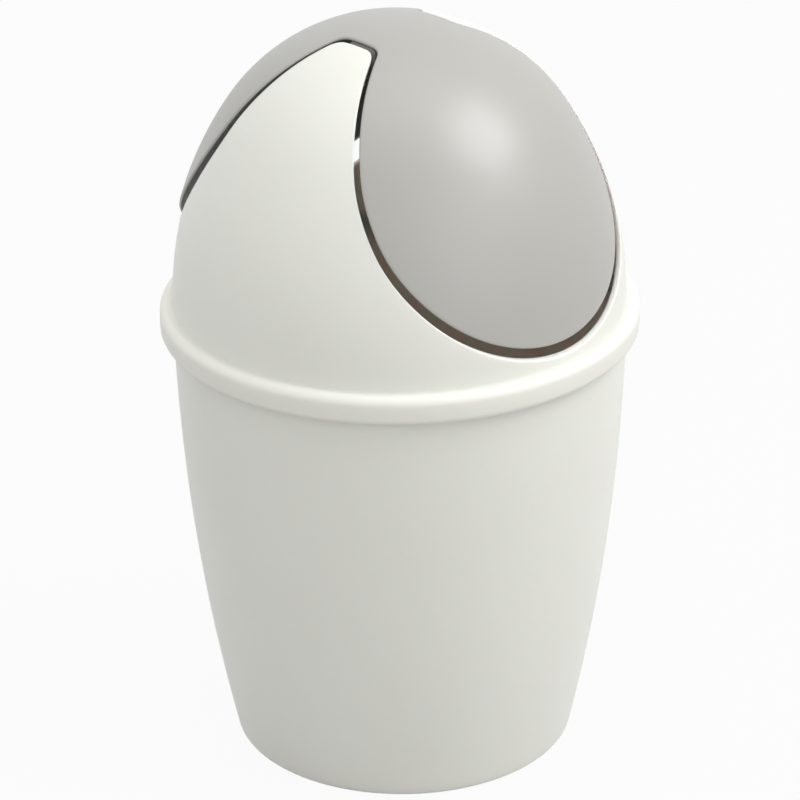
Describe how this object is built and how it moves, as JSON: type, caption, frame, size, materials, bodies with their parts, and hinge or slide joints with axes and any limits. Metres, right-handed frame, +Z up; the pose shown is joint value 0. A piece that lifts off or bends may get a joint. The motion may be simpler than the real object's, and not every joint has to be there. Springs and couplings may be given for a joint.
{
  "type": "tabletop waste bin",
  "caption": "Small round table bin with a tapered pail, a lift-off domed lid and a saddle-shaped flap that swings in the lid on moulded pins.",
  "frame": {"origin": "centre of the foot ring, on the table", "axes": "+Z up along the axis of the pail; the flap's lobes face -Y and +Y, its pins lie along X, and at rest it hangs 1.44 degrees off level with its front inwards, as pictured"},
  "size_m": [0.13, 0.13, 0.2082],
  "materials": {
    "white_plastic": "satin moulded polypropylene",
    "grey_plastic": "satin moulded polypropylene"
  },
  "bodies": {
    "pail": {"pail": "white_plastic"},
    "lid": {"lid": "white_plastic"},
    "flap": {"swing_flap": "grey_plastic"}
  },
  "joints": [
    {"name": "lid_lift", "type": "slide", "parent": "pail", "child": "lid", "axis": [0, 0, 1], "range_m": [0, 0.1]},
    {"name": "flap_swing", "type": "hinge", "parent": "lid", "child": "flap", "pos_m": [0, 0, 0.2003], "axis": [1, 0, 0], "range_deg": [-80, 80]}
  ]
}
